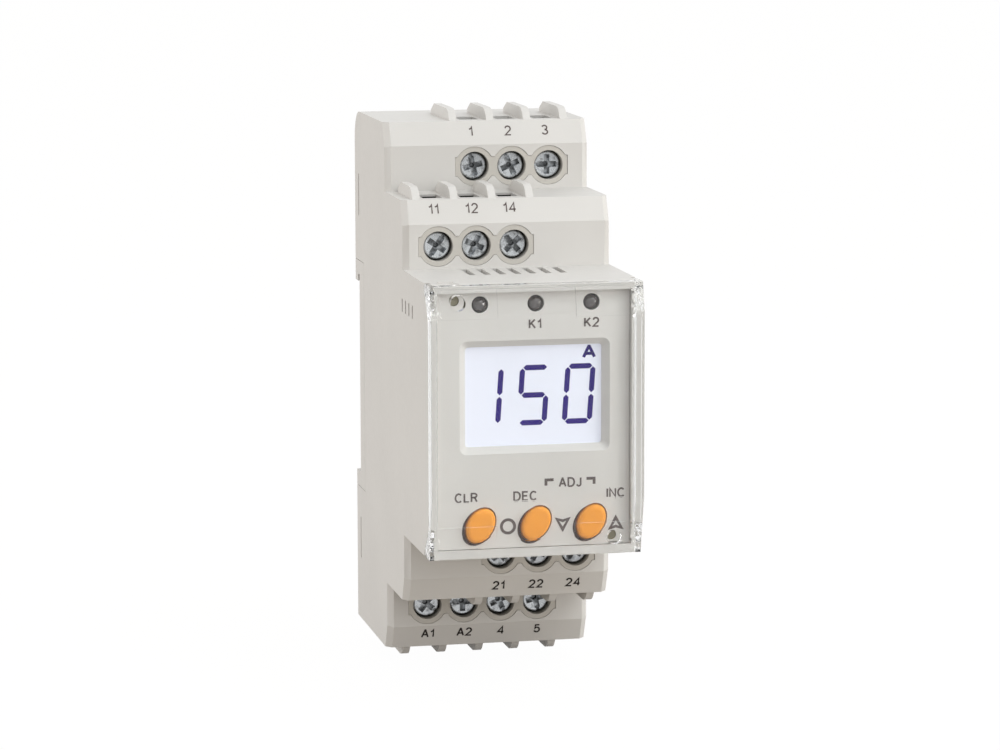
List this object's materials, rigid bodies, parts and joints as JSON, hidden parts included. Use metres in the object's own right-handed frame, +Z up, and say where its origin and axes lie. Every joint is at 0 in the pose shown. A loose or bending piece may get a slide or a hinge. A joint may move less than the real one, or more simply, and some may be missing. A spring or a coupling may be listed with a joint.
{
  "type": "protection relay",
  "caption": "Stepped rail-mounted protection relay with screw terminals on two tiers above and below a nose that has a display, lamps and push buttons under a clear flap.",
  "frame": {"origin": "middle of the width, on the rail's centre line, in the plane where the rail seats in the back", "axes": "+X to the right seen from the front, +Y backwards into the rail, +Z up"},
  "size_m": [0.0358, 0.072, 0.0964],
  "materials": {
    "housing_plastic": "fine spark-eroded texture",
    "clear_plastic": "clear, polished",
    "facia_plastic": "smooth satin",
    "display_glass": "polished",
    "white_plastic": "satin",
    "lamp_plastic": "tinted, polished",
    "button_plastic": "satin",
    "black_plastic": "satin",
    "cream_plastic": "satin",
    "zinc": "zinc plated",
    "spring_steel": "bright drawn wire",
    "circuit_board": "solder mask",
    "transformer_wrap": "taped",
    "capacitor_sleeve": "shrink sleeve"
  },
  "bodies": {
    "relay": {"front_housing": "housing_plastic", "rear_cover": "housing_plastic", "facia": "facia_plastic", "lcd_panel": "display_glass", "lcd_backlight": "white_plastic", "output_relay_1": "white_plastic", "output_relay_2": "white_plastic", "led_on": "lamp_plastic", "led_alarm_1": "lamp_plastic", "led_alarm_2": "lamp_plastic", "tact_switches": "black_plastic", "rear_header": "black_plastic", "front_header": "black_plastic", "upper_rear_terminals": "cream_plastic", "upper_front_terminals": "cream_plastic", "lower_front_terminals": "cream_plastic", "lower_rear_terminals": "cream_plastic", "upper_rear_screws": "zinc", "upper_front_screws": "zinc", "lower_front_screws": "zinc", "lower_rear_screws": "zinc", "upper_rear_clamps": "zinc", "upper_front_clamps": "zinc", "lower_front_clamps": "zinc", "lower_rear_clamps": "zinc", "clip_spring": "spring_steel", "display_board": "circuit_board", "base_board": "circuit_board", "mid_board": "circuit_board", "supply_transformer": "transformer_wrap", "buffer_capacitor": "capacitor_sleeve"},
    "cover": {"clear_cover": "clear_plastic"},
    "reset_key": {"reset_button": "button_plastic", "reset_plunger": "black_plastic"},
    "down_key": {"down_button": "button_plastic", "down_plunger": "black_plastic"},
    "up_key": {"up_button": "button_plastic", "up_plunger": "black_plastic"},
    "clip": {"rail_clip": "black_plastic"}
  },
  "joints": [
    {"name": "cover_hinge", "type": "hinge", "parent": "relay", "child": "cover", "pos_m": [0, -0.0629, 0.023], "axis": [-1, 0, 0], "range_deg": [0, 105]},
    {"name": "reset_press", "type": "slide", "parent": "relay", "child": "reset_key", "axis": [0, 1, 0], "range_m": [0, 0.0006], "stiffness_N_per_m": 1000},
    {"name": "down_press", "type": "slide", "parent": "relay", "child": "down_key", "axis": [0, 1, 0], "range_m": [0, 0.0006], "stiffness_N_per_m": 1000},
    {"name": "up_press", "type": "slide", "parent": "relay", "child": "up_key", "axis": [0, 1, 0], "range_m": [0, 0.0006], "stiffness_N_per_m": 1000},
    {"name": "clip_slide", "type": "slide", "parent": "relay", "child": "clip", "axis": [0, 0, -1], "range_m": [0, 0.003], "stiffness_N_per_m": 2000, "springref_m": -0.001, "deforming": ["clip_spring"]}
  ]
}
